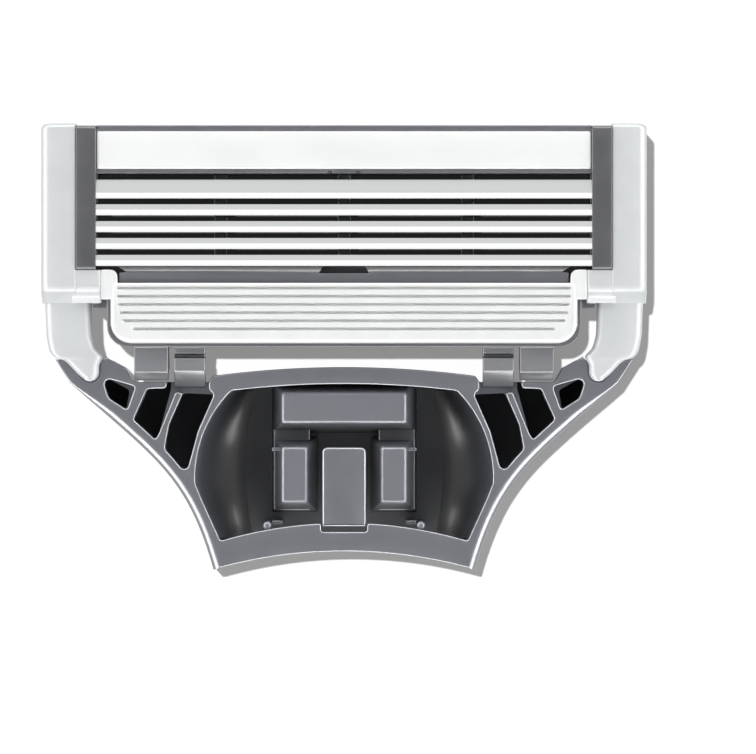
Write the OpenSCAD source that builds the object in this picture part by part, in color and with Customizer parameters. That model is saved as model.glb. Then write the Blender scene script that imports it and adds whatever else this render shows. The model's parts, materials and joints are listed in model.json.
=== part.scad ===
// Five-blade razor cartridge on elastomer hinge arms, lying on its back.
// X runs along the blades, Y from the handle end to the lubricated end,
// Z from the resting plane up to the shaving face.
// Inside each module Y is measured from the edge of the guard; in_frame() centres the whole object.

/* [Blade unit] */
// Length of blade left showing between the clips
cut_w = 34.4; // [29:0.1:42]
// Height of the shaving face above the resting plane, clips included
depth = 8.4; // [7.8:0.1:10.1]
// Spacing of the blade edges
pitch = 1.17; // [1:0.01:1.41]
// Width of the housing plastic showing below the guard
guard_lip = 0.28; // [0.2:0.02:0.5]
// Height of the elastomer guard
guard_h = 4.16; // [3.8:0.02:5]
// Height of the bar between the guard and the first blade
bar_h = 0.83; // [0.7:0.01:1.2]
// Height of the sloping ledge on the blade side of that bar
ledge_h = 0.35; // [0.25:0.01:0.5]
// Height of the lubricating strip
strip_h = 2.7; // [2:0.1:3.5]
// Thickness of the lubricating strip
strip_t = 1.3; // [1:0.1:1.6]
// Housing wall above the lubricating strip
top_wall = 0.38; // [0.3:0.02:0.6]
// Number of grooves in the guard
groove_n = 6; // [4:1:6]
// Spacing of the guard's grooves
groove_pitch = 0.565; // [0.5:0.005:0.6]
// Width of one groove
groove_w = 0.16; // [0.1:0.01:0.25]
// Depth of the grooves
groove_d = 0.55; // [0.3:0.05:0.8]

/* [Blades] */
// Number of blades
blade_n = 5; // [5:1:5]
// Thickness of the blade steel
blade_t = 0.10; // [0.08:0.01:0.14]
// Width of each blade except the last
blade_w = 0.80; // [0.7:0.01:0.9]
// Width of the last blade, beside the lubricating strip
last_blade_w = 1.38; // [1.1:0.01:1.5]
// Width of the ground bevel
bevel_w = 0.40; // [0.3:0.01:0.5]
// Angle between a blade and the shaving plane
blade_tilt = 21; // [15:1:28]
// Thickness of the bent blade supports
support_t = 0.20; // [0.15:0.01:0.3]
// Depth of a support's leg below the shaving plane
leg_d = 2.5; // [2:0.1:3]

/* [Clips and caps] */
// Width of each retaining clip
clip_w = 1.38; // [1:0.02:2]
// Thickness of the clip metal
clip_t = 0.22; // [0.15:0.01:0.3]
// Width of the elastomer end caps beside the clips
cap_w = 2.42; // [2:0.02:3.5]
// Wall of an end cap over the housing's end core
cap_wall = 0.75; // [0.5:0.05:1]
// How far the caps stand above the housing at the lubricated end
cap_over = 0.12; // [0:0.02:0.3]

/* [Hinge] */
// Distance of the pivot axis above the guard's edge
axis_up = 0.4; // [0.2:0.1:0.8]
// Largest pivot angle
pivot_max = 30; // [20:1:32]
// Width of a hinge arm
arm_w = 3.2; // [2.6:0.1:3.9]
// Thickness of a hinge arm
arm_t = 1.8; // [1.2:0.1:2.2]
// Distance from the centre to the middle of each inner tab
tab_in_x = 10.72; // [9.9:0.01:11]
// Width of each inner tab
tab_in_w = 2.15; // [1.6:0.05:2.4]
// Distance from the centre to the middle of each outer tab
tab_out_x = 13.4; // [13.2:0.01:13.7]
// Width of each outer tab
tab_out_w = 2.36; // [1.8:0.02:2.6]

/* [Connector] */
// Length of the connector, from the guard's edge to the handle end
conn_h = 15.5; // [14:0.1:19]
// Thickness of the connector
conn_t = 6.0; // [5.6:0.1:7]
// Half width of the handle end
neck_half = 9.1; // [8.6:0.1:10.5]
// Height of the band across the front of the handle end
band_h = 2.04; // [1.6:0.02:2.6]
// Thickness of that band
band_t = 0.95; // [0.7:0.05:1.3]
// Thickness of the back shell
shell_t = 0.80; // [0.6:0.05:1.1]
// Rise of the back shell at the wing tips
wing_rise = 2.4; // [1.5:0.1:2.8]
// Width of the rim along the outer edge
rim_w = 1.0; // [0.8:0.05:1.3]
// Half width of the main hollow
hollow_half = 10.34; // [9.8:0.02:11]

/* [Latch] */
// Width of the latch tongue
tongue_w = 3.06; // [2.4:0.02:3.8]
// Length of the latch tongue from its root to its free end
tongue_l = 5.4; // [4.5:0.1:6]
// Thickness of the latch tongue
tongue_t = 0.9; // [0.7:0.05:1.1]
// Half width of the tower round the tongue, at its foot
tower_half = 5.1; // [4.9:0.1:5.2]

/* [Clearances] */
// Between parts that slide or turn past each other
run_gap = 0.06; // [0.03:0.01:0.1]
// Between the steel parts and their slots
slot_gap = 0.03; // [0.02:0.01:0.08]

/* [Hidden] */
$fn = 48;
eps = 0.01;
reach = 60;

// heights above the guard's edge, stacked from the guard to the lubricated end
guard_top = guard_lip + guard_h;
ledge_y = guard_top + bar_h;
first_edge = ledge_y + ledge_h;
last_edge = first_edge + (blade_n - 1) * pitch;
blades_top = last_edge + last_blade_w * cos(blade_tilt);
bridge_y = blades_top + 0.45;
bridge_h = 0.26;
strip_y = bridge_y + bridge_h;
strip_top = strip_y + strip_h;
house_top = strip_top + top_wall;
cap_top = house_top + cap_over;
y_shift = (conn_h - cap_top) / 2;

clip_y = first_edge - clip_t - 0.04;

// distances from the centre line
cut_half = cut_w / 2;
clip_out = cut_half + clip_w;
half_w = clip_out + cap_w;
blade_half = clip_out - 0.45;
rail_out = clip_out - 0.05;
guard_half = cut_half - 0.75;
bar_end = guard_half - 0.85;
core_out = half_w - cap_wall;

// levels above the resting plane
edge_z = depth - clip_t - 0.03;
seat_z = edge_z - 0.9;
guard_z = edge_z + 0.05;
cap_z = edge_z + 0.05;
leg_z = edge_z - leg_d;
rail_back = 2.2;
back_mid = 2.6;
back_low = 3.6;
strip_z = edge_z + 0.12;
axis_z = conn_t - 0.1;
arm_z = axis_z - arm_t / 2;

// where the wings start to lift and the tabs hang
arm_top = guard_lip + 2.77;
lip_y = -2.43;
tab_r = -lip_y + axis_up - 0.11;
rim_t = 1.6;
hook_r = 3.9;
shelf_y = -3.14;
shelf_z = axis_z - 1.2;

// ---- helpers ----

// the object centred on its own frame
module in_frame() translate([0, y_shift, 0]) children();

// an outline drawn in Y and Z, drawn out along X between two places
module along_x(x0, x1)
    translate([x0, 0, 0]) rotate([90, 0, 90]) linear_extrude(x1 - x0) children();

// an outline drawn in X and Z, drawn out along Y between two places
module along_y(y0, y1)
    translate([0, y1, 0]) rotate([90, 0, 0]) linear_extrude(y1 - y0) children();

// a box between two corners
module span(a, b) translate(a) cube(b - a);

// children on the right, and mirrored on the left
module both_sides() {
    children();
    mirror([1, 0, 0]) children();
}

// a round bar about the pivot axis
module pivot_bar(r, x0, x1)
    translate([x0, axis_up, axis_z]) rotate([0, 90, 0]) cylinder(r = r, h = x1 - x0, $fn = 96);

// points on the arc from p to q that bulges by sag to the left of that line
function arc(p, q, sag, n) =
    let (d = q - p, c = norm(d) / 2, u = d / norm(d), v = [-u.y, u.x])
    let (r = (c * c + sag * sag) / (2 * sag), half = asin(c / r), o = (p + q) / 2 + v * (sag - r))
    [for (i = [0 : n]) let (a = half * (2 * i / n - 1)) o + r * (v * cos(a) + u * sin(a))];

// a point of a cubic curve with four control points
function cubic(c, t) =
    pow(1 - t, 3) * c[0] + 3 * pow(1 - t, 2) * t * c[1] + 3 * (1 - t) * t * t * c[2] + pow(t, 3) * c[3];

// the same line of points moved sideways by d, to the right of its direction
function beside(p, d) = [
    for (i = [0 : len(p) - 1])
        let (a = p[max(i - 1, 0)], b = p[min(i + 1, len(p) - 1)], u = (b - a) / norm(b - a))
        p[i] + d * [u.y, -u.x]
];

// the same points on the other side of the centre line, in reverse order
function flipped(p) = [for (i = [len(p) - 1 : -1 : 0]) [-p[i].x, p[i].y]];

// ---- the housing ----

// the outline of the housing's back: low at the lubricated end, high at the guard
module back_line()
    polygon([
        [-reach, -reach], [house_top - 1.3, -reach], [house_top - 1.3, 0], [first_edge, back_mid],
        [guard_lip + 1, back_low - 0.3], [0, back_low], [-reach, back_low]
    ]);

// bar under the guard, with rounded lower corners
module guard_bar(inset, z0, z1)
    translate([0, 0, z0]) linear_extrude(z1 - z0) polygon(concat(
        [[guard_half - inset, guard_top]],
        arc([guard_half - inset, inset + 1.45], [guard_half - inset - 1.45, inset], 0.425, 8),
        arc([-guard_half + inset + 1.45, inset], [-guard_half + inset, inset + 1.45], 0.425, 8),
        [[-guard_half + inset, guard_top]]
    ));

// one blade edge's height
function edge_y(i) = first_edge + (i - 1) * pitch;

// a point along a blade (a) and above its middle (b)
function on_blade(i, a, b) = [
    edge_y(i) + a * cos(blade_tilt) + b * sin(blade_tilt),
    edge_z - a * sin(blade_tilt) + b * cos(blade_tilt)
];

// where a blade ends at the back
function blade_width(i) = i == blade_n ? last_blade_w : blade_w;

// the rear face of a support's leg
function leg_y(i) = on_blade(i, blade_width(i), -blade_t / 2).x;

// the stop tabs' shared section: solid inside tab_r of the pivot, down from the guard bar
module tab_leg(x0, x1)
    intersection() {
        pivot_bar(tab_r, x0, x1);
        along_x(x0, x1) polygon([
            [0.1, axis_z - 2.3], [0.1, axis_z + 0.9], [-1.75, axis_z + 1],
            [-2.3, axis_z + 0.05], [-2.6, axis_z - 0.5], [-2.6, axis_z - 2.4], [-0.2, axis_z - 2.4]
        ]);
    }

// a point at a distance and angle from the pivot axis, the angle turning from down to back
function round_pivot(r, a) = [axis_up - r * cos(a), axis_z - r * sin(a)];

// angle at which the hook's stop face meets the back of the rim
rim_angle = atan2(rim_t - 0.1, axis_up - lip_y);
hook_a = rim_angle + pivot_max + 1.2;

// outer tab: curves back behind the connector's rim and stops the pivot at its limit
module outer_tab() {
    x0 = tab_out_x - tab_out_w / 2;
    x1 = x0 + tab_out_w;
    tab_leg(x0, x1);
    along_x(x0, x1) polygon([
        round_pivot(2.4, hook_a), round_pivot(hook_r, hook_a),
        round_pivot(hook_r, hook_a + 12), round_pivot(2.2, hook_a + 14)
    ]);
}

// inner tab: lies in front of the connector's shelf and stops the pivot at rest
module inner_tab() {
    x0 = tab_in_x - tab_in_w / 2;
    tip = shelf_y + 0.3;
    along_x(x0, x0 + tab_in_w) polygon([
        [0.1, shelf_z + run_gap], [0.1, axis_z + 0.7], [-0.48, axis_z + 0.7], [-0.52, axis_z + 0.3],
        [-0.68, axis_z + 0.3], [-0.75, axis_z + 1], [-1.65, axis_z + 1.05], [-1.95, axis_z + 0.8],
        [tip + 0.1, axis_z - 0.35], [tip, axis_z - 0.7], [tip + 0.05, shelf_z + run_gap]
    ]);
}

// slots for the support legs in the end rails
module support_slots()
    for (i = [1 : blade_n])
        both_sides()
            span(
                [cut_half - 0.5, leg_y(i) - support_t - slot_gap, leg_z - slot_gap],
                [blade_half + slot_gap, leg_y(i) + slot_gap, depth]
            );

// slots that the clips' legs pass through
module clip_slots()
    both_sides() {
        span(
            [cut_half - slot_gap, clip_y - slot_gap, 0],
            [reach, clip_y + clip_t + slot_gap, depth]
        );
        span([cut_half - slot_gap, house_top - clip_t - slot_gap, 0], [clip_out, reach, depth]);
    }

// web that ties each end of the guard bar to its end rail, beside the hinge arm
module end_web()
    span(
        [guard_half - 0.3, arm_top - 0.4, leg_z - 0.9],
        [half_w - 0.3 - arm_w, guard_top, seat_z - 0.15]
    );

// the ledge's dark gaps: one in the middle and one at each end
module ledge_gaps() {
    translate([0, 0, edge_z - 1.4])
        linear_extrude(2)
            polygon([
                [-1.75, ledge_y - 0.15], [1.75, ledge_y - 0.15],
                [1.45, first_edge + eps], [-1.45, first_edge + eps]
            ]);
    both_sides()
        translate([0, 0, edge_z - 1.4])
            linear_extrude(2)
                polygon([
                    [bar_end - 0.15 + ledge_h, first_edge + eps], [bar_end - 0.55, ledge_y - 0.07],
                    [bar_end, ledge_y - 0.12], [bar_end, guard_top],
                    [cut_half + 0.2, guard_top], [cut_half + 0.2, first_edge + eps]
                ]);
}

module housing()
    color("#5a5b60") in_frame() difference() {
        union() {
            // cap side: the box that holds the lubricating strip
            span([-rail_out, bridge_y, 0], [rail_out, house_top, edge_z]);
            // end rails under the clips, and the cores inside the end caps
            both_sides() {
                span([cut_half - 0.1, arm_top, rail_back], [rail_out, house_top, seat_z]);
                span([rail_out - eps, guard_lip + 4, 3.1], [core_out, house_top - 0.9, cap_z - 1]);
            }
            // guard bar and the bar beside the first blade
            guard_bar(0, 0, seat_z);
            along_x(-cut_half - 0.1, cut_half + 0.1) polygon([
                [guard_top, leg_z - 0.6], [guard_top, edge_z - 0.3], [ledge_y, edge_z - 0.25],
                [first_edge, edge_z - 0.65], [first_edge, leg_z - 0.6]
            ]);
            // ribs across the back of the blade field
            for (x = [-0.5, 0, 0.5])
                span(
                    [x * cut_half - 0.45, guard_lip + 1, 0],
                    [x * cut_half + 0.45, strip_y, leg_z - slot_gap]
                );
            // webs beside the hinge arms, and tabs that stop the pivot
            both_sides() {
                end_web();
                outer_tab();
                inner_tab();
            }
        }
        // everything behind the back line, except where the end rails already stop short
        difference() {
            along_x(-reach, reach) back_line();
            both_sides() span([tab_in_x - 2, -reach, 0], [tab_out_x + 2, 0, depth]);
        }
        // back of the end rails, level for the clips' feet
        both_sides() span([cut_half - 0.1, -reach, -eps], [reach, reach, rail_back]);
        // pocket for the lubricating strip, and a core-out behind it
        span(
            [-cut_half + slot_gap, strip_y, strip_z - strip_t],
            [cut_half - slot_gap, strip_top, reach]
        );
        both_sides()
            span(
                [0.45, bridge_y + 0.7, -eps],
                [cut_half - 1, house_top - 0.9, strip_z - strip_t - 0.8]
            );
        // two drain notches in the bridge between the strip and the last blade
        both_sides() span([0.8, bridge_y - eps, edge_z - 0.8], [1.15, bridge_y + 0.2, reach]);
        support_slots();
        clip_slots();
        ledge_gaps();
    }

// ---- what the housing carries ----

module lubricating_strip()
    color("#f2f4f4") in_frame()
        along_x(-cut_half + 2 * slot_gap, cut_half - 2 * slot_gap)
            polygon(concat(
                [[strip_y + slot_gap, strip_z - strip_t]],
                [[strip_top - slot_gap, strip_z - strip_t]],
                arc([strip_top - slot_gap, strip_z - 0.12], [strip_y + slot_gap, strip_z - 0.12], -0.1, 8)
            ));

module blade(i)
    color("#c9cccc") in_frame() along_x(-blade_half, blade_half) polygon([
        on_blade(i, 0, 0), on_blade(i, bevel_w, blade_t / 2), on_blade(i, blade_width(i), blade_t / 2),
        on_blade(i, blade_width(i), -blade_t / 2), on_blade(i, bevel_w, -blade_t / 2)
    ]);

// a bent strip: a platform under the blade and a leg down into the housing
module blade_support(i) {
    under = -blade_t / 2;
    front = on_blade(i, bevel_w, under);
    rear = on_blade(i, blade_width(i), under);
    bend = (leg_y(i) - support_t - on_blade(i, 0, under - support_t).x) / cos(blade_tilt);
    color("#8d9092") in_frame() along_x(-blade_half, blade_half) polygon([
        front, rear, [leg_y(i), leg_z], [leg_y(i) - support_t, leg_z],
        on_blade(i, bend, under - support_t), on_blade(i, bevel_w, under - support_t)
    ]);
}

// shoulder of the guard that runs up round the end of the bar
module guard_shoulder() {
    inner = bar_end + 0.1;
    top = first_edge - 0.25;
    translate([0, 0, seat_z]) linear_extrude(guard_z - 0.15 - seat_z) polygon(concat(
        arc([inner, top - 0.65], [inner + 0.65, top], 0.19, 6),
        [[guard_half + 0.35, top], [guard_half + 0.35, arm_top + 0.2]],
        [[guard_half - 0.2, arm_top + 0.2], [inner, guard_top - 0.35]]
    ));
}

// elastomer guard with fins
module guard() {
    fin_half = guard_half - 0.8;
    color("#e9ebea") in_frame() difference() {
        union() {
            guard_bar(guard_lip * 0.6, seat_z, guard_z - 0.05);
            both_sides() guard_shoulder();
        }
        for (i = [0 : groove_n - 1])
            let (y = guard_top - 0.36 - i * groove_pitch)
            let (short = i == groove_n - 1 ? 1.1 : i == groove_n - 2 ? 0.35 : 0)
            span(
                [-fin_half + short, y - groove_w / 2, guard_z - groove_d],
                [fin_half - short, y + groove_w / 2, reach]
            );
    }
}

// U-shaped clip: a plate over the blade ends, and two legs folded under the end rail
module clip()
    color("#58595d") in_frame() translate([cut_half, 0, 0]) {
        low = clip_y;
        foot = 1.1;
        back = rail_back - slot_gap - clip_t;
        high = house_top - slot_gap;
        span([0, low, depth - clip_t], [clip_w, high, depth]);
        span([0, low, back], [clip_w, low + clip_t, depth - clip_t]);
        span([0, low, back], [clip_w, low + foot, back + clip_t]);
        span([0, high - clip_t, back], [clip_w, high, depth - clip_t]);
        span([0, high - foot, back], [clip_w, high, back + clip_t]);
    }

// elastomer cap over the housing's end, sloping down to the hinge arm
module end_cap() {
    low = arm_top;
    slope = 0.9;
    color("#d6dadb") in_frame() difference() {
        union() {
            along_x(clip_out, half_w) polygon([
                [low, rail_back], [low, arm_z + arm_t + 0.1], [low + slope, cap_z],
                [cap_top, cap_z], [cap_top, rail_back]
            ]);
            along_x(guard_half + 0.36, clip_out + eps) polygon([
                [low, seat_z], [low + 0.55, cap_z - 0.6], [low + slope, cap_z - 0.1],
                [clip_y - slot_gap, cap_z - 0.1], [clip_y - slot_gap, seat_z]
            ]);
        }
        span([0, guard_lip + 4, 3.1], [core_out, house_top - 0.9, cap_z - 1]);
    }
}

// ---- hinge arms ----

// plan of an arm: a strap that narrows to a tongue set into the connector's wing
module arm_plan(grow) {
    x0 = half_w - 0.22 + grow;
    x1 = x0 - arm_w - 2 * grow;
    polygon(concat(
        [[x0, arm_top], [x0 - 0.08, 0.8], [x0 - 0.3, -0.35], [x0 - 0.7, -0.8 - grow], [x0 - 1.35, -0.86 - grow]],
        arc([x0 - 2.6, -2.15 - grow], [x1 - 0.55, -1.75], 0.42, 8),
        [[x1 - 0.55, -1.2], [x1 - 0.9, -0.66], [x1 - 0.3, -0.1], [x1 - 0.05, 0.8], [x1, 2.2], [x1, arm_top]]
    ));
}

module hinge_arm()
    color("#e4e7e8") in_frame()
        translate([0, 0, arm_z]) linear_extrude(arm_t) arm_plan(0);

// ---- the connector ----

// height of the back shell at a distance from the centre line
function back_z(x) = wing_rise * pow(max(0, (x - neck_half) / (half_w - neck_half)), 1.4);

// everything above the back shell, raised by the given amount
module above_back(up)
    along_y(-reach, reach) polygon(concat(
        [[-half_w - 1, conn_t + 1]],
        [for (i = [-8 : 8])
            let (x = i * (half_w + 1) / 8) [x, back_z(abs(x)) + up]],
        [[half_w + 1, conn_t + 1]]
    ));

// outer edge of the right wing, from its tip to the handle end
wing_tip = [half_w - 1.95, -2.5];
neck_end = [neck_half, -conn_h];
edge_curve = [
    for (i = [0 : 16])
        cubic([wing_tip, wing_tip + [-5.8, -5.25], neck_end + [1.9, 6.75], neck_end], i / 16)
];
inner_curve = beside(edge_curve, rim_w);

right_side = concat(
    [[tab_in_x - tab_in_w / 2 - 0.5, -2], [tab_in_x - tab_in_w / 2 - 0.25, lip_y],
     [tab_out_x + tab_out_w / 2 + 0.1, lip_y], [half_w - 5.8, -1.46], [half_w - 4.76, -0.9],
     [half_w - 4.35, -0.66], [half_w - 0.9, -0.83]],
    edge_curve
);

module connector_plan() polygon(concat(
    arc([-right_side[0].x, -2], right_side[0], 0.61, 14),
    right_side,
    arc(neck_end, [-neck_end.x, neck_end.y], 1.27 * -1, 14),
    flipped(right_side)
));

// right half of the main hollow's edge, from the top bar down to the band
hollow_side = concat(
    arc([hollow_half - 2.5, -3.05], [hollow_half, -9.5], 0.73, 10),
    [[hollow_half - 0.4, -10.5], [neck_half - 0.45, -conn_h + band_h + 0.1]]
);

module hollow_plan() polygon(concat(
    arc([-hollow_half + 2.5, -3.05], [hollow_half - 2.5, -3.05], 0.48, 10),
    hollow_side,
    arc([neck_half - 0.55, -conn_h + band_h], [-neck_half + 0.55, -conn_h + band_h], -1.24, 12),
    flipped(hollow_side)
));

// the three pockets of the right wing
tab_gap_x = (tab_in_x + tab_in_w / 2 + tab_out_x - tab_out_w / 2) / 2;

module wing_pockets() {
    // tip pocket, outside the outer tab
    polygon([
        [half_w - 4.3, -2.5], [half_w - 4.6, -2.22], [tab_out_x + 1.15, -2.75],
        [tab_out_x + 1.7, -4.35], inner_curve[2]
    ]);
    // pocket behind the outer tab
    polygon([
        [tab_out_x + 0.3, -2.92], [tab_gap_x + 0.15, -2.96], [tab_gap_x + 0.9, -6.05],
        inner_curve[6], inner_curve[4]
    ]);
    // pocket beside the main hollow
    polygon([
        [tab_in_x + 0.35, -3.08], [tab_in_x - 1.8, -3.2], [tab_in_x - 0.6, -5.95],
        [tab_in_x + 0.15, -8.4], inner_curve[9], inner_curve[7], [tab_in_x + 1.45, -5.4],
        [tab_in_x + 0.9, -4.15]
    ]);
}

// drafted tower inside the hollow, with a well for the latch tongue
tower_top = conn_t - 0.7;
module tower() {
    draft = 0.75;
    top_half = tower_half - draft;
    well = tongue_w / 2 + 0.9;
    difference() {
        along_y(-conn_h + band_h + 2.2, -2.6) polygon([
            [-tower_half, 0], [tower_half, 0], [tower_half, shell_t],
            [top_half, tower_top], [-top_half, tower_top], [-tower_half, shell_t]
        ]);
        // well that the tongue bends into
        span([-well, -reach, shell_t + 0.6], [well, -5.83, reach]);
        // cross slot above the tongue's free end
        span([-tower_half, -6.85, shell_t + 1.6], [tower_half, -5.83, reach]);
        // side posts end short of the band
        span([-tower_half, -reach, tower_top - 1.8], [tower_half, -10.95, reach]);
    }
}

// small steps on the tower's flanks, and pips at its foot, that steady the handle's prongs
module guide_steps() {
    for (y = [-7.25, -conn_h + 3.15])
        span([tower_half - 0.8, y, shell_t], [tower_half - 0.06, y + 0.25, tower_top - 1.1]);
    translate([tower_half + 0.25, -conn_h + 3.08, shell_t])
        cylinder(r = 0.3, h = conn_t - 0.25 - shell_t);
}

// pivot of the tongue in the band's upper edge
root_y = -conn_h + band_h + 1.24 - 0.15;
root_z = conn_t - 0.15 - tongue_t / 2;

module connector()
    color("#77797f") in_frame() {
        difference() {
            intersection() {
                linear_extrude(conn_t) connector_plan();
                above_back(0);
            }
            // main hollow, and the mouth that the handle enters by
            translate([0, 0, shell_t]) linear_extrude(reach) hollow_plan();
            span(
                [-neck_half + 0.95, -reach, shell_t],
                [neck_half - 0.95, -conn_h + band_h + 1.5, conn_t - band_t]
            );
            both_sides() intersection() {
                linear_extrude(reach) wing_pockets();
                above_back(shell_t);
            }
            both_sides() {
                // open space behind the rim, where the outer tab's hook swings
                difference() {
                    pivot_bar(hook_r + 0.12, tab_out_x - tab_out_w / 2 - 0.15, tab_out_x + tab_out_w / 2 + 0.15);
                    span([0, -reach, axis_z + 0.1 - rim_t], [reach, reach, reach]);
                    span([0, -reach, -reach], [reach, reach, axis_z - hook_r * 0.97 - 0.06]);
                }
                // shelf that the inner tab rests on
                span(
                    [tab_in_x - tab_in_w / 2 - 0.2, shelf_y, shelf_z],
                    [tab_in_x + tab_in_w / 2 + run_gap, reach, reach]
                );
                // seat for the hinge arm's tongue
                translate([0, 0, arm_z - run_gap]) linear_extrude(reach) arm_plan(run_gap);
            }
            // notch and round groove for the tongue's root
            span(
                [-tongue_w / 2 - run_gap, root_y, root_z - tongue_t / 2 - run_gap],
                [tongue_w / 2 + run_gap, root_y + 2, reach]
            );
            translate([-tongue_w / 2 - run_gap, root_y, root_z])
                rotate([0, 90, 0])
                    cylinder(r = tongue_t / 2 + run_gap, h = tongue_w + 2 * run_gap);
        }
        tower();
        both_sides() guide_steps();
    }

// cantilever tongue that snaps over the handle's catch
module latch_tongue() {
    free_y = root_y + tongue_l;
    color("#6f7176") in_frame() {
        translate([-tongue_w / 2, root_y, root_z])
            rotate([0, 90, 0])
                cylinder(r = tongue_t / 2, h = tongue_w);
        translate([0, 0, root_z - tongue_t / 2]) linear_extrude(tongue_t) polygon(concat(
            [[-tongue_w / 2, root_y]],
            arc([-tongue_w / 2, free_y - 0.4], [-tongue_w / 2 + 0.4, free_y], 0.117, 5),
            arc([tongue_w / 2 - 0.4, free_y], [tongue_w / 2, free_y - 0.4], 0.117, 5),
            [[tongue_w / 2, root_y]]
        ));
    }
}

housing();
lubricating_strip();
guard();
mirror([1, 0, 0]) clip();  // clip_left
clip();  // clip_right
mirror([1, 0, 0]) end_cap();  // end_cap_left
end_cap();  // end_cap_right
mirror([1, 0, 0]) hinge_arm();  // hinge_arm_left
hinge_arm();  // hinge_arm_right
connector();
latch_tongue();
for (i = [1 : blade_n]) {
    blade(i);
    blade_support(i);
}
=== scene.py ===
# %% [markdown]
# # A five-blade razor cartridge, off its handle
#
# The cartridge lies on its back and shows its shaving face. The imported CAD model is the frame:
# every piece below is built where that model says it is, in metres, with X along the blades,
# Y towards the lubricated end and Z up. Shapes are worked out in millimetres and scaled once,
# when a mesh is made.

import json
import math

import bmesh
import bpy
import numpy as np
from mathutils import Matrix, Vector
from mathutils.geometry import delaunay_2d_cdt

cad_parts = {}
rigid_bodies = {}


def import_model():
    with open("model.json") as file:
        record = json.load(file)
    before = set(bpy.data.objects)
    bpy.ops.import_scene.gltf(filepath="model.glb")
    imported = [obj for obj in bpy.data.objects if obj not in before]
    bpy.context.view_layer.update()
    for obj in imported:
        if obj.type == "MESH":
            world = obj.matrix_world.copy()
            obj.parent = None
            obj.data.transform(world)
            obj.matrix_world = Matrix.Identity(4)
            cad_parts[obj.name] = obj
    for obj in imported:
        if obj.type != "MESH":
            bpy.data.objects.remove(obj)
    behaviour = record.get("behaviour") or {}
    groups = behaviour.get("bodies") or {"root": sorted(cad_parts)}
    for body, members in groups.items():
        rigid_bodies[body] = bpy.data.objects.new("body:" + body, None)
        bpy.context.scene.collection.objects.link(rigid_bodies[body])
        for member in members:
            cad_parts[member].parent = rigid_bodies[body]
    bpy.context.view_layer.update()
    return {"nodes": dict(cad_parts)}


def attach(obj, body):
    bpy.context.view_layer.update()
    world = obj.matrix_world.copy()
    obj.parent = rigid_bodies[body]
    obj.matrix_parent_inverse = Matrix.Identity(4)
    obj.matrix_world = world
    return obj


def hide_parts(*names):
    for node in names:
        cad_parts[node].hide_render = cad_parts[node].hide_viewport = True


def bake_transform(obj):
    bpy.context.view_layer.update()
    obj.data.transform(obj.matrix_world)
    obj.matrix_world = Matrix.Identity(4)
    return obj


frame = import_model()
CAD = frame["nodes"]
MM = 0.001
print("CAD nodes:", len(CAD))

# %% [markdown]
# ## Sizes taken from the part
#
# The unit's heights stack up from the edge of the guard, as they do in the CAD source, so a
# piece meets its neighbours without being nudged. Y is centred by a shift of a micron or so.

# %% sizes
Y_SHIFT = 0.001
GUARD_TOP = 4.44
EDGE_1, PITCH = 5.62, 1.17
STRIP_LOW, STRIP_HIGH = 12.298, 14.998
CAP_TOP = 15.498
CUT_HALF, CLIP_OUT, HALF_W = 17.2, 18.58, 21.0
GUARD_HALF, ARM_TOP = 16.45, 3.05
DEPTH, EDGE_Z, CAP_Z, SEAT_Z = 8.4, 8.15, 8.2, 7.25
ARM_LOW, ARM_HIGH = 5.0, 6.8
CONN_T, SHELL_T, NECK_HALF, NECK_Y = 6.0, 0.8, 9.1, -15.5

# %% [markdown]
# ## Finishes
#
# Colours are given as they look on a screen and turned into the light values that the renderer
# works in. Each finish has the pattern of its real process, at its real size: spark-eroded mould
# grain on the ABS, a finer matt on the elastomer, and grinding lines along the steel.


# %% finish helpers
def linear(code):
    """A screen colour such as #6f7176 as linear red, green, blue and an alpha of one."""
    c = np.array([int(code[i : i + 2], 16) / 255 for i in (1, 3, 5)])
    c = np.where(c <= 0.04045, c / 12.92, ((c + 0.055) / 1.055) ** 2.4)
    return (*c, 1.0)


def node(tree, kind, inputs=None, **settings):
    """Adds a node. Settings are its properties; inputs are values, or other nodes' outputs."""
    made = tree.nodes.new(kind)
    for name, value in settings.items():
        setattr(made, name, value)
    for name, value in (inputs or {}).items():
        if isinstance(value, bpy.types.NodeSocket):
            tree.links.new(value, made.inputs[name])
        else:
            made.inputs[name].default_value = value
    return made


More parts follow.
